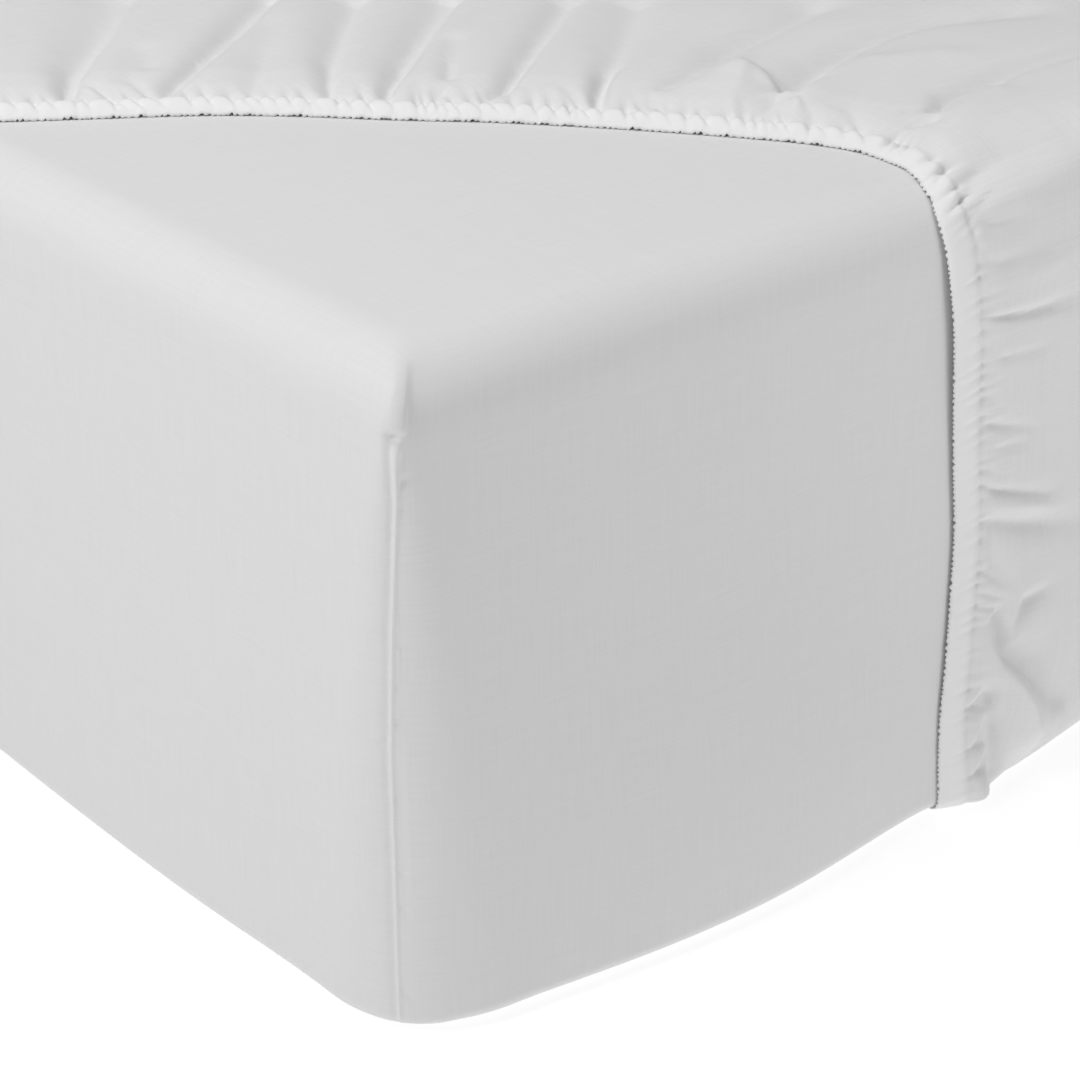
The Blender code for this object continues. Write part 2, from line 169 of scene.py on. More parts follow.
# where the sides bow out or in, by distance from the bared corner and down from the top
SWELL = (
    ("side", "along", "down", "half_along", "half_down", "height"),
    ("foot", 0.190, 0.275, 0.115, 0.110, 0.0170),
    ("foot", 0.040, 0.300, 0.050, 0.120, -0.0040),
    ("foot", 0.350, 0.300, 0.060, 0.100, 0.0075),
    ("foot", 0.312, 0.300, 0.013, 0.040, 0.0055),
    ("long", 0.065, 0.300, 0.060, 0.110, -0.0030),
    ("long", 0.230, 0.290, 0.170, 0.110, 0.0035),
)


def soft_step(x, low, high):
    """0 below low, 1 above high, smooth between."""
    t = np.clip((x - low) / (high - low), 0.0, 1.0)
    return t * t * (3.0 - 2.0 * t)


def column(table, name):
    """A column of a table with named columns."""
    return np.array([row[table[0].index(name)] for row in table[1:]])


def past_edge(u, v):
    """Distance past the nearest top edge of the mattress, below nought on the top."""
    return -np.minimum(HALF_WIDTH - np.abs(u), HALF_LENGTH - np.abs(v))


def wrap(u, v, out, top, low):
    """Places on the mattress for flat cloth places, for a cloth that far out from its side."""
    from_side = HALF_WIDTH - np.abs(u)
    from_end = HALF_LENGTH - np.abs(v)
    end = from_end < from_side
    inset = np.maximum(np.minimum(from_side, from_end), 0.0)
    w = past_edge(u, v)
    r_top = TOP_ROUND + out
    r_low = LOW_ROUND + out
    turn = np.clip((w + TOP_ROUND) / (2 * TOP_ROUND), 0.0, 1.0) * math.pi / 2
    bend = np.clip((w - DEPTH + LOW_ROUND) / (2 * LOW_ROUND), 0.0, 1.0) * math.pi / 2
    fall = np.clip((w - TOP_ROUND) / (DEPTH - LOW_ROUND - TOP_ROUND), 0.0, 1.0)
    inward = r_top * (1 - np.sin(turn)) + np.maximum(-w - TOP_ROUND, 0.0)
    inward = inward + r_low * (1 - np.cos(bend)) + np.maximum(w - DEPTH - LOW_ROUND, 0.0)
    drop_top = top - r_top
    drop_low = low + r_low
    height = np.where(w < TOP_ROUND, top - r_top * (1 - np.cos(turn)),
                      np.where(w < DEPTH - LOW_ROUND, drop_top + (drop_low - drop_top) * fall,
                               low + r_low * (1 - np.sin(bend))))
    leg = np.where(end, from_side, from_end) - inset
    full = np.where(end, HALF_WIDTH, HALF_LENGTH) - inset
    half_x = HALF_WIDTH + out - inward
    half_y = HALF_LENGTH + out - inward
    leg = leg / np.maximum(full, 1e-6) * np.where(end, half_x, half_y)
    radius = np.interp(w, column(CORNER, "down"), column(CORNER, "radius"))
    r = np.maximum(radius + out - inward, 1e-6)
    swing = math.pi / 4 * np.clip(1 - leg / r, 0.0, 1.0)
    past = np.maximum(leg - r, 0.0)
    x = np.where(end, half_x - r + r * np.sin(swing) - past, half_x - r + r * np.cos(swing))
    y = np.where(end, half_y - r + r * np.cos(swing), half_y - r + r * np.sin(swing) - past)
    along_foot = u + HALF_WIDTH
    along_side = v + HALF_LENGTH
    bow = {"foot": 0.0, "long": 0.0}
    for side, along, down, half_along, half_down, high in SWELL[1:]:
        a, d = (along_foot, -along_side) if side == "foot" else (along_side, -along_foot)
        puff = high * np.exp(-((a - along) / half_along) ** 2 - ((d - down) / half_down) ** 2)
        puff = puff * soft_step(a, 0.0, 0.03) * soft_step(d, 0.01, 0.08)
        bow[side] = bow[side] + puff * (1 - soft_step(d, 0.310, 0.360))
    x = x * np.sign(u) - bow["long"] + MIDDLE_X
    y = y * np.sign(v) - bow["foot"] + MIDDLE_Y
    return np.stack([x, y, height], axis=-1)


def outward(flat, out, top, low):
    """Which way the cloth faces at each flat place; never down, so nothing is pushed under it."""
    step = 0.0004
    du = np.where(flat[:, 0] > 0, -step, step)
    dv = np.where(flat[:, 1] > 0, -step, step)
    here = wrap(flat[:, 0], flat[:, 1], out, top, low)
    across = (wrap(flat[:, 0] + du, flat[:, 1], out, top, low) - here) / du[:, None]
    along = (wrap(flat[:, 0], flat[:, 1] + dv, out, top, low) - here) / dv[:, None]
    face = np.cross(across, along)
    face = face / np.maximum(np.linalg.norm(face, axis=1), 1e-12)[:, None]
    level = soft_step(-face[:, 2], 0.0, 0.9)
    face[:, 2] = np.maximum(face[:, 2], 0.0)
    return face * (1 - level)[:, None] + face * level[:, None], here


def on_cloth(u, v, rim):
    """Whether flat places lie on a cloth with the four corner squares cut out."""
    u, v = np.abs(u), np.abs(v)
    reach = DEPTH + rim
    return ((u < HALF_WIDTH) & (v < HALF_LENGTH + reach)) | ((v < HALF_LENGTH) & (u < HALF_WIDTH + reach))


def scattered(rim, spacing, largest, edge):
    """Flat places over a cloth, spaced by a rule and kept clear of its edge."""
    near_edge = KDTree(len(edge))
    for i, p in enumerate(edge):
        near_edge.insert((p[0], p[1], 0.0), i)
    near_edge.balance()
    reach = DEPTH + rim
    cells_u = np.arange(-HALF_WIDTH - reach, HALF_WIDTH + reach, largest) + largest / 2
    cells_v = np.arange(-HALF_LENGTH - reach, HALF_LENGTH + reach, largest) + largest / 2
    u, v = [g.ravel() for g in np.meshgrid(cells_u, cells_v)]
    size = largest
    kept = []
    while len(u):
        want = spacing(np.stack([u, v], axis=1))
        split = want < 0.72 * size
        done = ~split & on_cloth(u, v, rim)
        row = np.round(v / size).astype(int) % 2
        for p, q, odd in zip(u[done], v[done], row[done]):
            place = (p + 0.25 * size * (2 * odd - 1), q)
            if near_edge.find((place[0], place[1], 0.0))[2] > 0.55 * size:
                kept.append(place)
        u, v = u[split], v[split]
        quarter = size / 4
        u = np.concatenate([u - quarter, u + quarter, u - quarter, u + quarter])
        v = np.concatenate([v - quarter, v - quarter, v + quarter, v + quarter])
        size = size / 2
    return kept


def graded(start, end, spacing):
    """Points from start to end, as far apart as a rule says, both ends kept."""
    start, end = np.array(start, float), np.array(end, float)
    whole = float(np.linalg.norm(end - start))
    at = [0.0]
    while at[-1] < whole:
        here = start + (end - start) * (at[-1] / whole)
        at.append(at[-1] + float(spacing(here[None, :])[0]))
    at = np.array(at) * (whole / at[-1])
    return [tuple(start + (end - start) * (a / whole)) for a in at]


def cut_outline(rim, spacing, corners):
    """A cloth's outline as chains of flat places: the cut corners, then the hems between."""
    reach = DEPTH + rim
    chains = []
    for sx, sy in corners:
        tip = (sx * HALF_WIDTH, sy * HALF_LENGTH)
        down = graded(tip, (tip[0], tip[1] + sy * reach), spacing)
        chains.append(down)
        chains.append([(tip[0] + sx * abs(p[1] - tip[1]), tip[1]) for p in down])
    return chains


def sewn_mesh(name, chains, inner, heights, skin):
    """A cloth's mesh: cut flat, wrapped, lifted by its heights, its cut corners sewn."""
    out, top, low = skin
    places, lines = [], []
    index = {}
    for chain in chains:
        last = None
        for p in chain:
            key = (round(p[0], 5), round(p[1], 5))
            if key not in index:
                index[key] = len(places)
                places.append(p)
            if last is not None and last != index[key]:
                lines.append((last, index[key]))
            last = index[key]
    places += inner
    flat, _, faces, _, _, _ = delaunay_2d_cdt([tuple(p) for p in places], lines, [], 1, 1e-8)
    flat = np.array([tuple(p) for p in flat])
    faces = np.array([tuple(f) for f in faces])
    face, here = outward(flat, *skin)
    points = here + face * heights(flat)[:, None]
    past = np.abs(flat[:, 0]) - HALF_WIDTH
    turned = (past > 1e-6) & (np.abs(np.abs(flat[:, 1]) - HALF_LENGTH) < 1e-6)
    sewn = np.where(turned[:, None],
                    np.sign(flat) * np.stack([0 * past + HALF_WIDTH, HALF_LENGTH + past], 1), flat)
    _, first, twin = np.unique(np.round(sewn, 5), axis=0, return_index=True, return_inverse=True)
    twin = np.asarray(twin).reshape(-1)
    data = bpy.data.meshes.new(name)
    data.from_pydata([tuple(p) for p in points[first]], [], [tuple(f) for f in twin[faces].tolist()])
    data.update()
    threads = data.uv_layers.new(name="threads")
    corners = flat[faces.reshape(-1)] + (2.0, 3.0)
    threads.data.foreach_set("uv", corners.astype(np.float32).ravel())
    for polygon in data.polygons:
        polygon.use_smooth = True
    return data


# An upright corner's seam: how far down it is, how far it lies towards the long side, how proud
# and how wide its welt stands, and how far the cloth folds out along it
SEAM = (
    ("down", "to_long_side", "welt", "half_width", "fold"),
    (-0.012, -0.0045, 0.0000, 0.0018, 0.0000),
    (0.000, -0.0045, 0.0000, 0.0018, 0.0010),
    (0.010, -0.0045, 0.0000, 0.0018, 0.0018),
    (0.021, -0.0036, 0.0000, 0.0018, 0.0016),
    (0.0245, -0.0026, 0.0001, 0.0018, 0.0010),
    (0.0265, -0.0019, 0.0014, 0.0018, 0.0006),
    (0.032, -0.0012, 0.0015, 0.0016, 0.0002),
    (0.040, -0.0010, 0.0013, 0.0013, 0.0000),
    (0.050, -0.0008, 0.0010, 0.0010, 0.0000),
    (0.070, 0.0007, 0.0008, 0.0009, 0.0000),
    (0.110, 0.0037, 0.0007, 0.0010, 0.0000),
    (0.165, 0.0065, 0.0007, 0.0010, 0.0000),
    (0.290, 0.0075, 0.0006, 0.0009, 0.0000),
    (0.325, 0.0075, 0.0000, 0.0009, 0.0000),
)


def beside_corner(flat, sx, sy):
    """Distance along the cloth from an upright corner, above nought on the long side."""
    side = np.maximum(HALF_LENGTH - flat[:, 1] * sy, 0.0)
    foot = np.maximum(HALF_WIDTH - flat[:, 0] * sx, 0.0)
    return side - foot


def seam_heights(flat, sx, sy, seed):
    """The welt down one corner, the dimple at its top and the cloth drawn in beside it."""
    w = past_edge(flat[:, 0], flat[:, 1])
    q = beside_corner(flat, sx, sy)
    near = (np.abs(q) < 0.09) & (flat[:, 0] * sx > 0) & (flat[:, 1] * sy > 0)
    line, welt, half, fold = [np.interp(w, column(SEAM, "down"), column(SEAM, name))
                              for name in ("to_long_side", "welt", "half_width", "fold")]
    gap = q - line
    h = welt * np.exp(-(np.abs(gap) / half) ** 2.2)
    h = h - 0.60 * welt * np.exp(-((gap - half - 0.0016) / 0.0018) ** 2)
    h = h + fold * np.exp(-(gap / np.where(gap > 0, 0.0065, 0.0026)) ** 2)
    # the stitching draws the cloth beside it into short uneven puckers
    rng = np.random.default_rng(seed)
    at = 0.042
    while at < 0.285:
        side = 1 if rng.random() < 0.6 else -1
        long, deep = rng.uniform(0.003, 0.012), rng.uniform(0.0002, 0.0007)
        lean = rng.uniform(-0.3, 0.7)
        run = gap * side
        across = w - at - lean * run
        h = h - deep * soft_step(run, 0.0005, 0.0030) * np.exp(-np.maximum(run - 0.003, 0) / long) \
            * np.exp(-(across / 0.0020) ** 2)
        at += rng.uniform(0.004, 0.012)
    dimple = np.exp(-((q + 0.0002) / 0.0040) ** 2 - ((w - 0.0225) / 0.0026) ** 2)
    h = h - 0.0032 * dimple
    return np.where(near, h, 0.0)


def seam_places(sx, sy, step):
    """Flat places in columns along a corner's seam, close enough for its welt."""
    places = []
    half = (0.0004, 0.0008, 0.0013, 0.0019, 0.0026, 0.0036, 0.0050)
    for k, aside in enumerate([-a for a in reversed(half)] + [0.0] + list(half)):
        for w in np.arange(-0.006 + (k % 2) * step / 2, DEPTH + 0.006, step):
            q = float(np.interp(w, column(SEAM, "down"), column(SEAM, "to_long_side"))) + aside
            if abs(q) > 0.0003:
                inset = min(w, 0.0)
                places.append((sx * (HALF_WIDTH + w), sy * (HALF_LENGTH - q + inset)) if q > 0 else
                              (sx * (HALF_WIDTH + q + inset), sy * (HALF_LENGTH + w)))
    return places


def cover_spacing(flat):
    """Finest at the bared corner's seam and lower edge, fine where bare, coarse under the sheet."""
    w = past_edge(flat[:, 0], flat[:, 1])
    q = np.abs(beside_corner(flat, -1, -1))
    bare = np.hypot(np.maximum(flat[:, 0] + HALF_WIDTH, 0), np.maximum(flat[:, 1] + HALF_LENGTH, 0))
    fine = np.interp(q, (0.014, 0.030, 0.060), (0.0016, 0.0034, 0.0060))
    fine = np.where((w > 0.0) & (w < 0.31), fine, 0.0055)
    fine = np.maximum(fine, np.interp(w, (-0.05, -0.02, 0.31, 0.33), (0.0070, 0.0012, 0.0012, 0.012)))
    fine = np.where(np.abs(w - DEPTH) < 2 * LOW_ROUND, np.minimum(fine, 0.0014), fine)
    return np.where(bare < 0.42, fine, np.interp(bare, (0.42, 0.60), (0.008, 0.030)))


def cover_slack(flat):
    """The cover's broad slacks, too slight to be folds; the sheet over it follows them."""
    u, v = flat[:, 0], flat[:, 1]
    slack = np.sin(23 * u + 9 * v + 0.6) * np.sin(17 * v - 11 * u + 1.9)
    slack = slack + 0.6 * np.sin(41 * u - 13 * v) * np.sin(37 * v + 8 * u + 0.4)
    return 0.00022 * slack * (1 - soft_step(past_edge(u, v), 0.27, 0.30))


def cover_heights(flat):
    """The cover's seams and slacks."""
    h = cover_slack(flat)
    for seed, (sx, sy) in enumerate(((-1, -1), (1, -1), (1, 1), (-1, 1))):
        h = h + seam_heights(flat, sx, sy, 40 + seed)
    return h


# Cotton percale, plain woven and pressed: matt and even, with a faint grain of single threads.
# Its threads are 0.25 mm apart, too fine to show, so the grain is drawn at 1.1 mm. Where the
# cloth's "layers" are above nought, as in the hem, it is whiter: partly because nothing shines through its
# layers, partly as a painted highlight for the light the band catches.
def cotton(name, low, high, grain):
    """White cotton with its weave along its own threads, whiter where it is sewn in layers: partly for the
    layers, partly as a painted highlight.
    """
    made, tree, shader = new_material(name)
    threads = add_node(tree, "ShaderNodeUVMap", {"uv_map": "threads"}).outputs["UV"]
    weave = add_node(tree, "ShaderNodeMath", {"operation": "ADD"})
    for i, scale in enumerate(((900.0, 26.0, 1.0), (26.0, 900.0, 1.0))):
        run = add_node(tree, "ShaderNodeMapping", inputs={"Scale": scale}, links={"Vector": threads})
        slub = add_node(tree, "ShaderNodeTexNoise", {"noise_dimensions": "2D"},
                        {"Scale": 1.0, "Detail": 2.0, "Roughness": 0.6}, {"Vector": run.outputs["Vector"]})
        tree.links.new(slub.outputs["Fac"], weave.inputs[i])
    half = add_node(tree, "ShaderNodeMath", {"operation": "MULTIPLY"})
    tree.links.new(weave.outputs[0], half.inputs[0])
    half.inputs[1].default_value = 0.5
    tint = add_node(tree, "ShaderNodeValToRGB", links={"Fac": half.outputs[0]})
    tint.color_ramp.elements[0].position = 0.36
    tint.color_ramp.elements[1].position = 0.64
    tint.color_ramp.elements[0].color = linear(low)
    tint.color_ramp.elements[1].color = linear(high)
    bump = add_node(tree, "ShaderNodeBump", inputs={"Strength": grain, "Distance": 0.0003},
                    links={"Height": half.outputs[0]})
    # the hem band is painted whiter here: partly for its three layers, partly as a painted highlight
    layers = add_node(tree, "ShaderNodeAttribute", {"attribute_name": "layers"})
    hem_white_and_painted_highlight = add_node(tree, "ShaderNodeMix", {"data_type": "RGBA"},
                      links={"Factor": layers.outputs["Fac"]})
    tree.links.new(tint.outputs["Color"], hem_white_and_painted_highlight.inputs["A"])
    hem_white_and_painted_highlight.inputs["B"].default_value = linear("#f1f1f1")
    tree.links.new(hem_white_and_painted_highlight.outputs["Result"], shader.inputs["Base Color"])
    tree.links.new(bump.outputs["Normal"], shader.inputs["Normal"])
    shader.inputs["Roughness"].default_value = 0.88
    shader.inputs["IOR"].default_value = 1.46
    shader.inputs["Specular IOR Level"].default_value = 0.30
    shader.inputs["Sheen Weight"].default_value = 0.12
    shader.inputs["Sheen Roughness"].default_value = 0.45
    return made


cover_material = cotton("cotton_percale_cover_woven", "#e3e3e3", "#e6e6e6", 0.12)
cover_corners = ((-1, -1), (1, -1), (1, 1), (-1, 1))
cover_reach = DEPTH + COVER_RIM
outline = cut_outline(COVER_RIM, cover_spacing, cover_corners)
for sign in (-1, 1):
    outline.append(graded((-HALF_WIDTH, sign * (HALF_LENGTH + cover_reach)),
                          (HALF_WIDTH, sign * (HALF_LENGTH + cover_reach)), cover_spacing))
    outline.append(graded((sign * (HALF_WIDTH + cover_reach), -HALF_LENGTH),
                          (sign * (HALF_WIDTH + cover_reach), HALF_LENGTH), cover_spacing))
seam = seam_places(-1, -1, 0.0016)
edge = [p for chain in outline for p in chain]
inner = seam + scattered(COVER_RIM, cover_spacing, 0.032, edge + seam)
data = sewn_mesh("mattress_cover_cloth", outline, inner, cover_heights, (COVER_OUT, COVER_TOP, COVER_LOW))
data.materials.append(cover_material)
cover = link_object("mattress_cover_cloth", data)
thick = cover.modifiers.new("thickness", "SOLIDIFY")
thick.thickness = COVER_THICK
thick.offset = -1.0
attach(cover, "root")
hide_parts("mattress_cover")

# ---------------------------------------------------------------------------------------
# Fitted sheet. The same plain white cotton, cut with four square corners sewn into pockets.
# Its hem is turned twice and sewn down over flat elastic, which ruffles it. Three pockets are
# on the mattress; from the bared corner it is drawn back, so that the hem lies across the top
# and down the foot end and the cloth beyond it stands in uneven gathers and folds.
# ---------------------------------------------------------------------------------------
SHEET_RIM = 0.090
SHEET_OUT = 0.0046
SHEET_TOP = 0.3046
SHEET_LOW = 0.0010
SHEET_THICK = 0.0007
HEM_THICK = 0.0016
EDGE_THICK = 0.0002
OVER_COVER = 0.0014
# how wide the hem's casing is on the top, and on the sides
CASING_TOP = 0.0125
CASING = 0.0145

# the hem round the bared corner: along the foot end, along the long side, from that corner;
# below nought is down that side
HEM = (
    ("along_foot", "along_side"),
    (0.470, -0.390),
    (0.400, -0.389),
    (0.345, -0.381),
    (0.311, -0.354),
    (0.298, -0.320),
    (0.294, -0.287),
    (0.293, -0.253),
    (0.296, -0.222),
    (0.299, -0.191),
    (0.3005, -0.160),
    (0.298, -0.128),
    (0.295, -0.094),
    (0.292, -0.062),
    (0.287, -0.033),
    (0.282, -0.008),
    (0.2835, 0.008),
    (0.2877, 0.0279),
    (0.2878, 0.0505),
    (0.279, 0.0717),
    (0.2655, 0.092),
    (0.2524, 0.1099),
    (0.2262, 0.1448),
    (0.1981, 0.1776),
    (0.1669, 0.2084),
    (0.1368, 0.2403),
    (0.1046, 0.2691),
    (0.0695, 0.2949),
    (0.0342, 0.3195),
    (0.0009, 0.3431),
    (-0.0394, 0.3577),
    (-0.100, 0.366),
    (-0.170, 0.370),
    (-0.250, 0.368),
    (-0.306, 0.368),
    (-0.352, 0.382),
    (-0.380, 0.414),
    (-0.389, 0.464),
    (-0.390, 0.534),
)

# how high the cloth stands over the cover by distance from the hem, on the top and on the
# sides: a rolled edge, the band over the elastic, the stitching and the gathers beyond
RISE = (
    ("from_hem", "on_top", "on_side"),
    (0.0000, 0.0003, 0.0006),
    (0.0010, 0.0017, 0.0016),
    (0.0025, 0.0029, 0.0023),
    (0.0050, 0.0043, 0.0029),
    (0.0080, 0.0056, 0.0034),
    (0.0105, 0.0060, 0.0036),
    (0.0125, 0.0054, 0.0037),
    (0.0145, 0.0050, 0.0038),
    (0.0180, 0.0060, 0.0051),
    (0.0240, 0.0077, 0.0064),
    (0.0400, 0.0094, 0.0076),
    (0.0800, 0.0098, 0.0072),
    (0.1500, 0.0092, 0.0060),
    (0.2200, 0.0065, 0.0045),
    (0.3000, 0.0030, 0.0030),
    (0.3800, 0.0014, 0.0014),
)

# how far the hem's edge hangs clear of the foot end, by distance down from the top
CLEAR = (
    ("down", "gap"),
    (-0.010, 0.0000),
    (0.005, 0.0006),
    (0.020, 0.0015),
    (0.035, 0.0024),
    (0.055, 0.0029),
    (0.080, 0.0025),
    (0.105, 0.0019),
    (0.140, 0.0014),
    (0.195, 0.0011),
    (0.225, 0.0013),
    (0.260, 0.0007),
    (0.295, 0.0004),
)

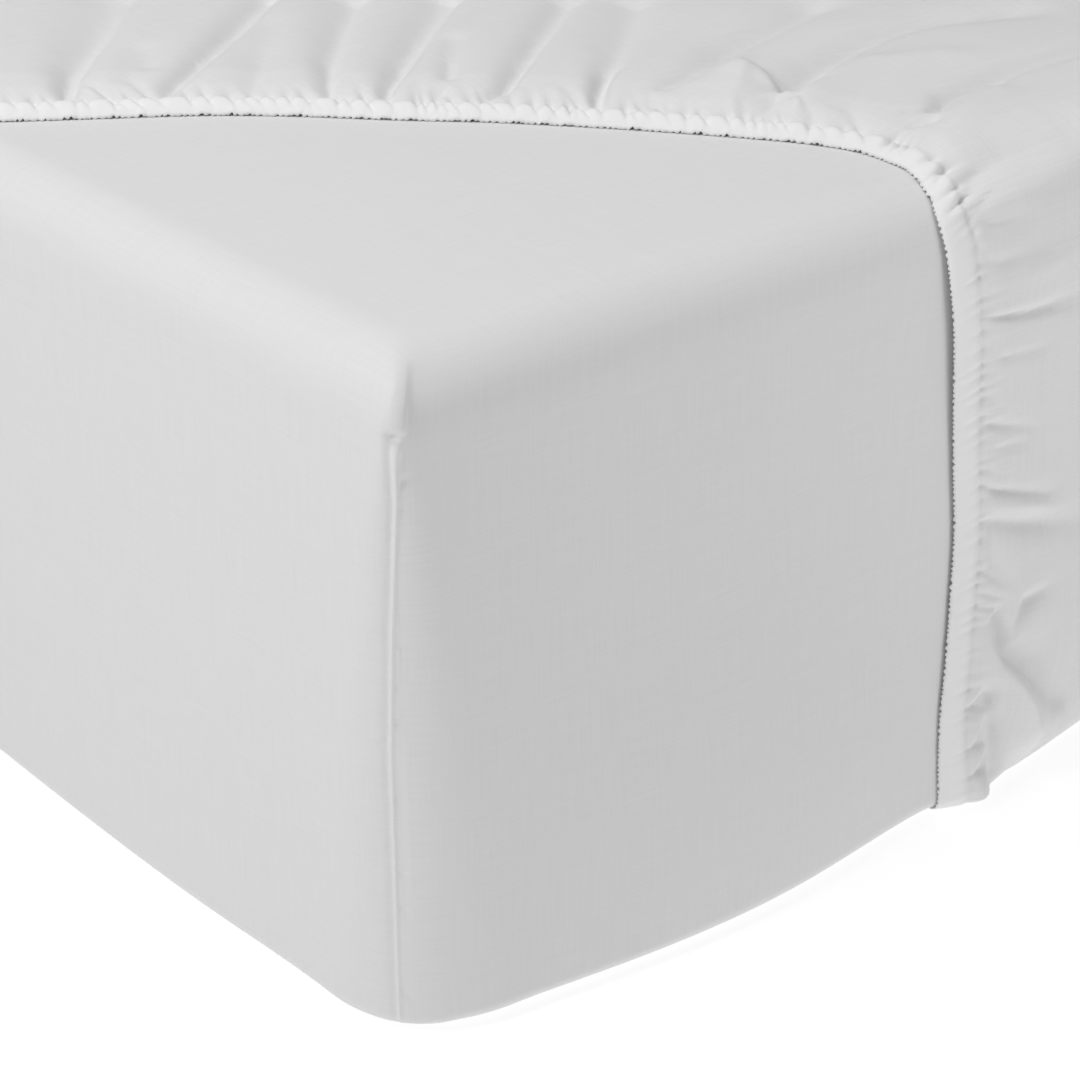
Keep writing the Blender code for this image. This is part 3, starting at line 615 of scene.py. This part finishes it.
# the main folds, each a line of places from the hem outward: how wide each bank is there, and
# how high it stands; troughs are below nought
FOLDS = (
    ("fold", "from_foot", "from_side", "left", "right", "height"),
    (1, 0.063, 0.313, 0.004, 0.003, -0.0064),
    (1, 0.088, 0.344, 0.010, 0.005, -0.0092),
    (1, 0.126, 0.381, 0.018, 0.006, -0.0092),
    (1, 0.168, 0.428, 0.026, 0.009, -0.0087),
    (2, 0.095, 0.289, 0.004, 0.003, -0.0051),
    (2, 0.121, 0.305, 0.006, 0.004, -0.0069),
    (2, 0.150, 0.326, 0.007, 0.004, -0.0083),
    (2, 0.181, 0.350, 0.008, 0.005, -0.0083),
    (2, 0.221, 0.381, 0.010, 0.006, -0.0074),
    (3, 0.112, 0.323, 0.007, 0.007, -0.0018),
    (3, 0.124, 0.346, 0.008, 0.008, -0.0017),
    (4, 0.129, 0.266, 0.006, 0.006, -0.0023),
    (4, 0.162, 0.304, 0.012, 0.009, -0.0037),
    (4, 0.193, 0.339, 0.013, 0.010, -0.0019),
    (5, 0.151, 0.238, 0.004, 0.004, -0.0055),
    (5, 0.182, 0.279, 0.008, 0.007, -0.0069),
    (5, 0.213, 0.312, 0.012, 0.007, -0.0078),
    (5, 0.251, 0.351, 0.015, 0.009, -0.0078),
    (6, 0.175, 0.229, 0.004, 0.003, -0.0060),
    (6, 0.208, 0.256, 0.010, 0.004, -0.0092),
    (6, 0.240, 0.284, 0.012, 0.005, -0.0092),
    (6, 0.287, 0.322, 0.016, 0.006, -0.0087),
    (7, 0.206, 0.224, 0.004, 0.004, -0.0032),
    (7, 0.243, 0.265, 0.006, 0.005, -0.0025),
    (8, 0.176, 0.206, 0.003, 0.003, -0.0028),
    (8, 0.193, 0.213, 0.005, 0.004, -0.0032),
    (9, 0.193, 0.194, 0.003, 0.003, -0.0032),
    (9, 0.219, 0.199, 0.005, 0.004, -0.0060),
    (9, 0.249, 0.221, 0.008, 0.004, -0.0078),
    (9, 0.286, 0.250, 0.010, 0.005, -0.0083),
    (9, 0.331, 0.285, 0.012, 0.007, -0.0078),
    (10, 0.232, 0.154, 0.003, 0.003, -0.0064),
    (10, 0.255, 0.175, 0.005, 0.003, -0.0092),
    (10, 0.276, 0.192, 0.008, 0.005, -0.0060),
    (10, 0.309, 0.220, 0.014, 0.010, -0.0055),
    (10, 0.348, 0.256, 0.018, 0.010, -0.0060),
    (11, 0.241, 0.130, 0.002, 0.002, -0.0037),
    (11, 0.253, 0.142, 0.004, 0.003, -0.0032),
    (12, 0.247, 0.124, 0.002, 0.002, -0.0037),
    (12, 0.258, 0.136, 0.004, 0.003, -0.0032),
    (13, 0.269, 0.150, 0.004, 0.004, -0.0032),
    (13, 0.299, 0.158, 0.007, 0.006, -0.0051),
    (13, 0.333, 0.174, 0.010, 0.007, -0.0064),
    (13, 0.359, 0.181, 0.010, 0.007, -0.0064),
    (13, 0.411, 0.196, 0.010, 0.008, -0.0064),
    (14, 0.269, 0.109, 0.012, 0.008, 0.0014),
    (14, 0.307, 0.139, 0.014, 0.004, 0.0041),
    (15, 0.312, 0.139, 0.004, 0.012, 0.0028),
    (15, 0.300, 0.104, 0.003, 0.010, 0.0032),
    (16, 0.304, 0.113, 0.007, 0.004, -0.0064),
    (16, 0.318, 0.113, 0.012, 0.005, -0.0087),
    (16, 0.347, 0.128, 0.014, 0.005, -0.0083),
    (16, 0.374, 0.138, 0.010, 0.006, -0.0078),
    (16, 0.403, 0.144, 0.009, 0.007, -0.0064),
    (16, 0.437, 0.144, 0.009, 0.008, -0.0060),
    (16, 0.482, 0.130, 0.010, 0.010, -0.0051),
    (17, 0.280, 0.102, 0.006, 0.006, -0.0028),
    (17, 0.295, 0.106, 0.008, 0.006, -0.0041),
    (18, 0.277, 0.084, 0.004, 0.006, 0.0018),
    (18, 0.303, 0.098, 0.004, 0.009, 0.0037),
    (18, 0.334, 0.110, 0.005, 0.012, 0.0037),
    (18, 0.356, 0.115, 0.007, 0.014, 0.0032),
    (18, 0.397, 0.100, 0.010, 0.014, 0.0018),
    (19, 0.336, 0.052, 0.003, 0.003, -0.0041),
    (19, 0.355, 0.059, 0.006, 0.004, -0.0074),
    (19, 0.378, 0.062, 0.007, 0.005, -0.0069),
    (19, 0.401, 0.067, 0.006, 0.005, -0.0064),
    (19, 0.420, 0.068, 0.006, 0.006, -0.0055),
    (19, 0.470, 0.067, 0.007, 0.007, -0.0055),
    (20, 0.325, 0.057, 0.002, 0.002, -0.0023),
    (20, 0.336, 0.051, 0.003, 0.003, -0.0037),
    (21, 0.316, 0.046, 0.002, 0.002, -0.0025),
    (21, 0.325, 0.043, 0.003, 0.003, -0.0030),
    (22, 0.313, 0.027, 0.006, 0.008, 0.0020),
    (22, 0.341, 0.038, 0.006, 0.010, 0.0040),
    (22, 0.370, 0.048, 0.008, 0.010, 0.0030),
    (23, 0.297, -0.001, 0.004, 0.004, -0.0020),
    (23, 0.311, 0.004, 0.007, 0.005, -0.0045),
    (23, 0.330, 0.007, 0.011, 0.007, -0.0045),
    (23, 0.370, 0.004, 0.012, 0.010, -0.0035),
    (24, 0.297, -0.013, 0.002, 0.002, -0.0020),
    (24, 0.310, -0.018, 0.004, 0.004, -0.0029),
    (24, 0.332, -0.019, 0.006, 0.005, -0.0009),
    (25, 0.312, -0.010, 0.005, 0.005, 0.0012),
    (25, 0.333, -0.009, 0.008, 0.008, 0.0026),
    (25, 0.356, -0.005, 0.011, 0.010, 0.0029),
    (25, 0.385, -0.001, 0.012, 0.012, 0.0010),
    (26, 0.299, -0.032, 0.004, 0.004, -0.0012),
    (26, 0.319, -0.035, 0.005, 0.005, -0.0020),
    (26, 0.339, -0.034, 0.007, 0.005, -0.0008),
    (27, 0.313, -0.045, 0.006, 0.006, 0.0009),
    (27, 0.337, -0.042, 0.007, 0.008, 0.0020),
    (27, 0.372, -0.040, 0.010, 0.010, 0.0012),
    (28, 0.305, -0.058, 0.0014, 0.001, -0.0017),
    (28, 0.321, -0.061, 0.002, 0.0014, -0.0026),
    (28, 0.340, -0.063, 0.003, 0.002, -0.0023),
    (28, 0.378, -0.066, 0.005, 0.003, -0.0008),
    (29, 0.319, -0.080, 0.002, 0.002, -0.0010),
    (29, 0.346, -0.082, 0.003, 0.003, -0.0006),
    (30, 0.308, -0.093, 0.002, 0.002, -0.0012),
    (30, 0.319, -0.104, 0.003, 0.002, -0.0006),
    (31, 0.310, -0.109, 0.002, 0.0015, -0.0019),
    (31, 0.319, -0.113, 0.003, 0.002, -0.0024),
    (31, 0.343, -0.120, 0.003, 0.003, -0.0007),
    (32, 0.321, -0.124, 0.002, 0.002, -0.0010),
    (32, 0.337, -0.126, 0.003, 0.003, -0.0008),
    (33, 0.313, -0.133, 0.002, 0.002, -0.0017),
    (33, 0.322, -0.137, 0.002, 0.002, -0.0005),
    (34, 0.313, -0.140, 0.002, 0.002, -0.0020),
    (34, 0.322, -0.146, 0.002, 0.0015, -0.0035),
    (34, 0.360, -0.160, 0.005, 0.0025, -0.0016),
    (35, 0.319, -0.152, 0.003, 0.004, 0.0009),
    (35, 0.340, -0.158, 0.004, 0.006, 0.0017),
    (35, 0.368, -0.168, 0.006, 0.006, 0.0007),
    (36, 0.319, -0.160, 0.003, 0.004, -0.0029),
    (36, 0.342, -0.168, 0.006, 0.006, -0.0038),
    (36, 0.385, -0.182, 0.009, 0.007, -0.0016),
    (37, 0.320, -0.164, 0.003, 0.004, -0.0020),
    (37, 0.323, -0.182, 0.004, 0.006, -0.0023),
    (37, 0.334, -0.195, 0.005, 0.006, -0.0007),
    (38, 0.313, -0.182, 0.0015, 0.0012, -0.0020),
    (38, 0.329, -0.194, 0.003, 0.002, -0.0009),
    (39, 0.314, -0.194, 0.0015, 0.0012, -0.0020),
    (39, 0.331, -0.203, 0.003, 0.002, -0.0009),
    (40, 0.312, -0.201, 0.0015, 0.0012, -0.0021),
    (40, 0.334, -0.208, 0.003, 0.002, -0.0009),
    (41, 0.339, -0.217, 0.004, 0.004, -0.0023),
    (41, 0.344, -0.208, 0.003, 0.005, -0.0041),
    (41, 0.361, -0.207, 0.003, 0.006, -0.0013),
    (42, 0.325, -0.211, 0.004, 0.003, -0.0074),
    (42, 0.331, -0.232, 0.008, 0.004, -0.0084),
    (42, 0.350, -0.248, 0.013, 0.005, -0.0089),
    (42, 0.374, -0.274, 0.016, 0.007, -0.0060),
    (43, 0.325, -0.228, 0.005, 0.006, 0.0020),
    (43, 0.340, -0.256, 0.008, 0.010, 0.0105),
    (43, 0.352, -0.290, 0.010, 0.012, 0.0105),
    (44, 0.307, -0.251, 0.002, 0.002, -0.0035),
    (44, 0.319, -0.251, 0.005, 0.004, -0.0055),
    (45, 0.308, -0.272, 0.002, 0.002, -0.0035),
    (45, 0.320, -0.269, 0.005, 0.004, -0.0060),
    (46, 0.306, -0.286, 0.002, 0.003, -0.0040),
    (46, 0.318, -0.284, 0.004, 0.003, -0.0065),
    (47, 0.320, -0.247, 0.006, 0.006, -0.0037),
    (47, 0.324, -0.266, 0.009, 0.007, -0.0063),
    (47, 0.327, -0.290, 0.009, 0.008, -0.0063),
    (48, 0.305, -0.292, 0.002, 0.004, -0.0045),
    (48, 0.314, -0.306, 0.003, 0.004, -0.0030),
    (49, 0.304, -0.276, 0.004, 0.004, 0.0015),
    (49, 0.313, -0.296, 0.006, 0.007, 0.0040),
    (51, -0.060, 0.376, 0.009, 0.011, -0.0060),
    (51, -0.080, 0.470, 0.012, 0.015, -0.0050),
    (52, -0.135, 0.386, 0.009, 0.012, -0.0060),
    (52, -0.165, 0.480, 0.014, 0.015, -0.0045),
    (53, -0.200, 0.388, 0.008, 0.010, -0.0060),
    (53, -0.215, 0.460, 0.012, 0.013, -0.0045),
    (54, -0.262, 0.386, 0.009, 0.011, -0.0050),
    (54, -0.290, 0.450, 0.011, 0.012, -0.0035),
)


def smooth_line(table, step):
    """A table of two columns as a smooth line in flat cloth places, a step apart."""
    p = np.array(table[1:]) - (HALF_WIDTH, HALF_LENGTH)
    dense = []
    for i in range(len(p) - 1):
        a, b, d = p[max(i - 1, 0)], p[i], p[i + 1]
        e = p[min(i + 2, len(p) - 1)]
        for t in np.linspace(0, 1, 12, endpoint=False):
            dense.append(0.5 * (2 * b + (d - a) * t + (2 * a - 5 * b + 4 * d - e) * t ** 2
                                + (3 * b - a - 3 * d + e) * t ** 3))
    dense.append(p[-1])
    dense = np.array(dense)
    run = np.concatenate([[0], np.cumsum(np.linalg.norm(np.diff(dense, axis=0), axis=1))])
    even = np.linspace(0, run[-1], int(round(run[-1] / step)) + 1)
    return np.stack([np.interp(even, run, dense[:, k]) for k in (0, 1)], axis=1)


def beside_line(flat, line):
    """How far along a line each flat place lies, and how far to its right."""
    a, d = line[:-1], np.diff(line, axis=0)
    long = np.linalg.norm(d, axis=1)
    run = np.concatenate([[0], np.cumsum(long)])
    along, far = np.zeros(len(flat)), np.zeros(len(flat))
    for start in range(0, len(flat), 3000):
        part = flat[start:start + 3000]
        away = part[:, None, :] - a[None, :, :]
        t = np.clip((away * d).sum(2) / long ** 2, 0.0, 1.0)
        gap = away - t[:, :, None] * d
        dist = np.hypot(gap[:, :, 0], gap[:, :, 1])
        near = dist.argmin(axis=1)
        pick = np.arange(len(part))
        g, e = gap[pick, near], d[near]
        sign = np.where(e[:, 0] * g[:, 1] - e[:, 1] * g[:, 0] < 0, 1.0, -1.0)
        along[start:start + 3000] = run[near] + t[pick, near] * long[near]
        far[start:start + 3000] = dist[pick, near] * sign
    return along, far


hem_line = smooth_line(HEM, 0.0045)
hem_run = float(np.linalg.norm(np.diff(hem_line, axis=0), axis=1).sum())

# the elastic's ruffles: creases across the band, slanting, that run out into the gathers.
# Where each meets the hem's edge, how deep and wide it is, how far it runs on, how it leans
crease_rng = np.random.default_rng(11)
creases = []
at = 0.004
while at < hem_run:
    creases.append((at, crease_rng.uniform(0.0016, 0.0036), crease_rng.uniform(0.0013, 0.0022),
                    crease_rng.choice([0.003, 0.006, 0.010, 0.022], p=[0.38, 0.32, 0.20, 0.10]),
                    crease_rng.uniform(0.15, 0.75)))
    apart = [crease_rng.uniform(0.0042, 0.0066), crease_rng.uniform(0.0066, 0.0104)]
    at += crease_rng.choice(apart, p=[0.4, 0.6])


def edge_waves(along):
    """The hem edge's own small waves, about 2.7 mm apart, uneven: between -1 and 1."""
    drift = np.sin(along * 190 + 1.3) + 0.7 * np.sin(along * 431 + 0.4)
    return np.sin(along * 2320 + 1.6 * drift) * (0.7 + 0.3 * np.sin(along * 613))


def gathered(flat, along, far):
    """How high the sheet stands over the cover near its hem: band, gathers and main folds."""
    x = flat[:, 0] + HALF_WIDTH
    y = flat[:, 1] + HALF_LENGTH
    side = soft_step(np.maximum(-y, -x), -0.012, 0.020)
    on_top, on_side = [np.interp(far, column(RISE, "from_hem"), column(RISE, name))
                       for name in ("on_top", "on_side")]
    h = (1 - side) * on_top + side * on_side
    gap = np.interp(-y, column(CLEAR, "down"), column(CLEAR, "gap"))
    h = h + gap * (1 - soft_step(far, 0.020, 0.110))
    # on the top the edge lifts off the cover between the creases
    lift = np.sin(along * 395 + 2.2 * np.sin(along * 71)) + 0.6 * np.sin(along * 640 + 1.1)
    h = h + (1 - side) * 0.0007 * soft_step(lift, 0.1, 1.1) * np.exp(-(far / 0.004) ** 2)
    rising = soft_step(far, 0.010, 0.024)
    nodes = np.array(FOLDS[1:])
    for fold in np.unique(nodes[:, 0]):
        rows = nodes[nodes[:, 0] == fold, 1:]
        span = np.concatenate([[0], np.cumsum(np.hypot(*np.diff(rows[:, :2], axis=0).T))])
        reach = 3.2 * rows[:, 2:4].max()
        box = ((x > rows[:, 0].min() - reach) & (x < rows[:, 0].max() + reach)
               & (y > rows[:, 1].min() - reach) & (y < rows[:, 1].max() + reach))
        if not box.any():
            continue
        spot = np.stack([x[box], y[box]], axis=1)
        run, off = beside_line(spot, rows[:, :2])
        left, right, high = [np.interp(run, span, rows[:, k]) for k in (2, 3, 4)]
        bank = np.where(off < 0, left, right)
        h[box] += rising[box] * high * np.exp(-(np.abs(off) / bank) ** 1.5)
    close = far < 0.13
    small = np.zeros(len(flat))
    s, t, beside = along[close], far[close], side[close]
    in_band = soft_step(t, 0.001, 0.0115)
    seam_at = CASING_TOP + (CASING - CASING_TOP) * beside
    for at, deep, half, long, lean in creases:
        off = s - at - (lean * (1 - 0.8 * beside)) * np.minimum(t, 0.03)
        here = np.abs(off) < 0.03
        past = np.maximum(t[here] - seam_at[here], 0.0)
        width = half * (0.6 + 0.4 * in_band[here]) * (1 + past / 0.012)
        depth = deep * (0.12 + 0.88 * in_band[here]) * np.exp(-np.maximum(past - 0.002, 0.0) / long)
        depth = depth * np.where(past > 0, 1 - 0.65 * beside[here], 1 - 0.80 * beside[here])
        at_close = np.zeros(len(s))
        at_close[here] = depth * np.exp(-(np.abs(off[here]) / width) ** 1.5)
        small[close] = np.minimum(small[close], -at_close) * 0.85 + 0.15 * (small[close] - at_close)
    h = h + small
    h = h - 0.0006 * np.exp(-((far - CASING_TOP - (CASING - CASING_TOP) * side) / 0.0011) ** 2)
    h = h + 0.00022 * edge_waves(along) * np.exp(-(far / 0.0035) ** 2)
    h = np.maximum(h, 0.0003 + 0.0012 * soft_step(far, 0.0, 0.004))
    w = past_edge(flat[:, 0], flat[:, 1])
    beyond = soft_step(far, 0.022, 0.050)
    shut = beyond * soft_step(w, 0.268, 0.303) + (1 - beyond) * soft_step(w, 0.300, 0.322)
    return OVER_COVER + (h - OVER_COVER) * (1 - shut)


def sheet_heights(flat):
    """The gathered corner, the three sewn ones, and broad slacks elsewhere."""
    along, far = beside_line(flat, hem_line)
    h = gathered(flat, along, far) - OVER_COVER + cover_slack(flat)
    for seed, (sx, sy) in enumerate(((1, -1), (1, 1), (-1, 1))):
        h = h + seam_heights(flat, sx, sy, 70 + seed)
    u, v = flat[:, 0], flat[:, 1]
    slack = np.sin(11 * u + 7 * v + 0.3) * np.sin(9 * v - 6 * u + 0.9)
    slack = slack + 0.5 * np.sin(27 * u - 12 * v + 1.0) * np.sin(21 * v + 10 * u)
    w = past_edge(u, v)
    return h + 0.0006 * (1.2 + slack) * soft_step(far, 0.10, 0.25) * (1 - soft_step(w, 0.26, 0.30))


def in_sight(flat):
    """Whether flat places lie where the hem crosses the top and hangs down the foot end."""
    return (flat[:, 0] > -HALF_WIDTH - 0.03) & (flat[:, 1] > -HALF_LENGTH - 0.325)


def sheet_spacing(flat):
    """Finest beside the bared corner's hem, fine at the sewn corners, coarse elsewhere."""
    _, far = beside_line(flat, hem_line)
    g = np.interp(far, (0.0, 0.050, 0.090, 0.160, 0.260, 0.400),
                  (0.0024, 0.0026, 0.0038, 0.0052, 0.012, 0.030))
    g = np.where(in_sight(flat), g, 2.2 * g)
    w = past_edge(flat[:, 0], flat[:, 1])
    edge = np.minimum(np.abs(w), np.abs(w - DEPTH))
    g = np.minimum(g, np.interp(edge, (0.012, 0.045), (0.007, 0.030)))
    for sx, sy in ((1, -1), (1, 1), (-1, 1)):
        q = np.abs(beside_corner(flat, sx, sy))
        there = (flat[:, 0] * sx > 0) & (flat[:, 1] * sy > 0) & (w > 0) & (w < 0.31)
        g = np.where(there, np.minimum(g, np.interp(q, (0.010, 0.060), (0.0034, 0.030))), g)
    return np.where(far < -0.004, 0.030, np.minimum(g, 0.030))


# how far apart the places along the hem are: at its edge, in the rows beside it, out of sight
EDGE_STEP = 0.0008
ROW_STEP = 0.0010
HIDDEN_STEP = 0.0030


def hem_rows(line, far_in):
    """Rows of flat places alongside the hem, close enough for its creases; the first is its edge."""
    turn = np.gradient(line, axis=0)
    turn = turn / np.linalg.norm(turn, axis=1)[:, None]
    inward = np.stack([turn[:, 1], -turn[:, 0]], axis=1)
    run = np.concatenate([[0], np.cumsum(np.linalg.norm(np.diff(line, axis=0), axis=1))])
    seen = in_sight(line)
    rows = []
    for k, t in enumerate(far_in):
        step = np.where(seen, EDGE_STEP if k == 0 else ROW_STEP, HIDDEN_STEP)
        at = [0.0005 * (k % 2)]
        while at[-1] < run[-1]:
            at.append(at[-1] + step[np.searchsorted(run, at[-1]).clip(0, len(step) - 1)])
        at = np.array(at[:-1])
        off = t + (0.0005 * edge_waves(at) if k == 0 else 0.0)
        rows.append(np.stack([np.interp(at, run, line[:, i]) + np.interp(at, run, inward[:, i]) * off
                              for i in (0, 1)], axis=1))
    return rows


sheet_material = cotton("cotton_percale_sheet_woven", "#e4e4e4", "#e8e8e8", 0.20)
sheet_corners = ((1, -1), (1, 1), (-1, 1))
sheet_reach = DEPTH + SHEET_RIM
outline = cut_outline(SHEET_RIM, sheet_spacing, sheet_corners)
low_v, low_u = -HALF_LENGTH - sheet_reach, -HALF_WIDTH - sheet_reach
hem_start, hem_end = [(p[0] - HALF_WIDTH, p[1] - HALF_LENGTH) for p in (HEM[1], HEM[-1])]
HEM_ROWS = (0.0, 0.0010, 0.0019, 0.0031, 0.0046, 0.0062, 0.0080, 0.0098, 0.0115,
            0.0129, 0.0140, 0.0150, 0.0162, 0.0178, 0.0198, 0.0222, 0.0248, 0.0276)
PAST_ROWS = 0.0290
rows = hem_rows(smooth_line(HEM, 0.0010), HEM_ROWS)
outline.append(graded(hem_start, (HALF_WIDTH, low_v), sheet_spacing))
outline.append(graded(hem_end, (low_u, HALF_LENGTH), sheet_spacing))
outline.append(graded((-HALF_WIDTH, -low_v), (HALF_WIDTH, -low_v), sheet_spacing))
outline.append(graded((-low_u, -HALF_LENGTH), (-low_u, HALF_LENGTH), sheet_spacing))
outline.append([hem_start] + [tuple(p) for p in rows[0][1:-1]] + [hem_end])
banded = [tuple(p) for row in rows[1:] for p in row if on_cloth(p[0] * 1.0008, p[1] * 1.0004, SHEET_RIM)]
edge = [p for chain in outline for p in chain]
inner = scattered(SHEET_RIM, sheet_spacing, 0.032, edge)
inside = beside_line(np.array(inner), hem_line)[1] > PAST_ROWS
inner = banded + [p for p, keep in zip(inner, inside) if keep]
data = sewn_mesh("fitted_sheet_cloth", outline, inner, sheet_heights, (SHEET_OUT, SHEET_TOP, SHEET_LOW))
data.materials.append(sheet_material)
sheet = link_object("fitted_sheet_cloth", data)
# the hem is three layers thick, the sheet beyond it one, and the rolled edge thins to a lip
flat = np.zeros((len(data.loops), 2), np.float32)
data.uv_layers["threads"].data.foreach_get("uv", flat.ravel())
corner_of = np.zeros(len(data.loops), int)
data.loops.foreach_get("vertex_index", corner_of)
place = np.zeros((len(data.vertices), 2))
place[corner_of] = flat - (2.0, 3.0)
along, far = beside_line(place, hem_line)
room = gathered(place, along, far) - 0.0001
in_hem = soft_step(far, 0.0005, 0.004) * (1 - soft_step(far, CASING, CASING + 0.002))
layers = SHEET_THICK + (HEM_THICK - SHEET_THICK) * in_hem - 0.0004 * (1 - soft_step(far, 0.0, 0.001))
thick_here = np.clip(room, EDGE_THICK, layers)
# the "layers" attribute paints the hem band whiter: partly for its real layers, partly as a painted
# highlight
hem_layers_and_painted_highlight = data.attributes.new(name="layers", type="FLOAT", domain="POINT")
hem_layers_and_painted_highlight.data.foreach_set("value", (1 - soft_step(far, 0.0095, CASING)).astype(np.float32))
group = sheet.vertex_groups.new(name="hem")
for i in range(len(place)):
    group.add([i], float((thick_here[i] - EDGE_THICK) / (HEM_THICK - EDGE_THICK)), "REPLACE")
thick = sheet.modifiers.new("thickness", "SOLIDIFY")
thick.thickness = HEM_THICK
thick.offset = -1.0
thick.vertex_group = "hem"
thick.thickness_vertex_group = EDGE_THICK / HEM_THICK
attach(sheet, "root")
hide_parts("fitted_sheet")

# ---------------------------------------------------------------------------------------
# Stage. A plain pale floor that glows a little, so that no shadow shows on it, a light on the
# left, a large soft one above, a weak one before the foot end, and the camera.
# ---------------------------------------------------------------------------------------
floor_material, tree, shader = new_material("floor_paper_matt_white")
shader.inputs["Base Color"].default_value = linear("#8c8c8c")
shader.inputs["Roughness"].default_value = 0.95
shader.inputs["Emission Color"].default_value = linear("#ffffff")
shader.inputs["Emission Strength"].default_value = 0.80
data = bpy.data.meshes.new("floor")
FLOOR_HALF = 9
FLOOR_LEVEL = -0.0005
floor_corners = [(x * FLOOR_HALF, y * FLOOR_HALF, FLOOR_LEVEL)
                 for x, y in ((-1, -1), (1, -1), (1, 1), (-1, 1))]
data.from_pydata(floor_corners, [], [(0, 1, 2, 3)])
data.materials.append(floor_material)
floor = link_object("floor", data)

world = bpy.data.worlds.new("studio_white")
bpy.context.scene.world = world
world.use_nodes = True
world.node_tree.nodes["Background"].inputs["Color"].default_value = linear("#ffffff")
world.node_tree.nodes["Background"].inputs["Strength"].default_value = 0.1

corner = Vector((foam_low[0] - COVER_OUT, foam_low[1] - COVER_OUT, 0.0))
LIGHTS = (
    ("name", "place", "aim", "width", "power"),
    ("key_left", (-1.50, 0.15, 1.90), (0.10, 0.15, 0.20), 0.8, 25.5),
    ("top_soft", (0.30, 0.40, 2.40), (0.20, 0.20, 0.20), 1.8, 24.0),
    ("fill_right", (0.60, -0.75, 0.40), (0.40, 0.00, 0.15), 0.6, 1.7),
)
for name, place, aim, width, power in LIGHTS[1:]:
    lamp = bpy.data.lights.new(name, "AREA")
    lamp.shape = "SQUARE"
    lamp.size = width
    lamp.energy = power
    light = bpy.data.objects.new(name, lamp)
    light.location = corner + Vector(place)
    light.rotation_euler = (Vector(place) - Vector(aim)).to_track_quat("Z", "Y").to_euler()
    bpy.context.scene.collection.objects.link(light)

# the camera stands before the bared corner, turned 40.5 degrees and looking 27.4 degrees down
TURN = math.radians(-40.52)
LOOK_DOWN = math.radians(27.361)
AIM = Vector((0.151, 0.096, 0.150))
AWAY = 1.186
back = Vector((math.sin(TURN) * math.cos(LOOK_DOWN), -math.cos(TURN) * math.cos(LOOK_DOWN),
               math.sin(LOOK_DOWN)))
lens = bpy.data.cameras.new("camera")
lens.sensor_width = 36.0
lens.lens = 92.39
lens.clip_start = 0.05
camera = bpy.data.objects.new("camera", lens)
camera.location = corner + AIM + back * AWAY
camera.rotation_euler = back.to_track_quat("Z", "Y").to_euler()
bpy.context.scene.collection.objects.link(camera)
bpy.context.scene.camera = camera
bpy.context.scene.view_settings.view_transform = "Standard"
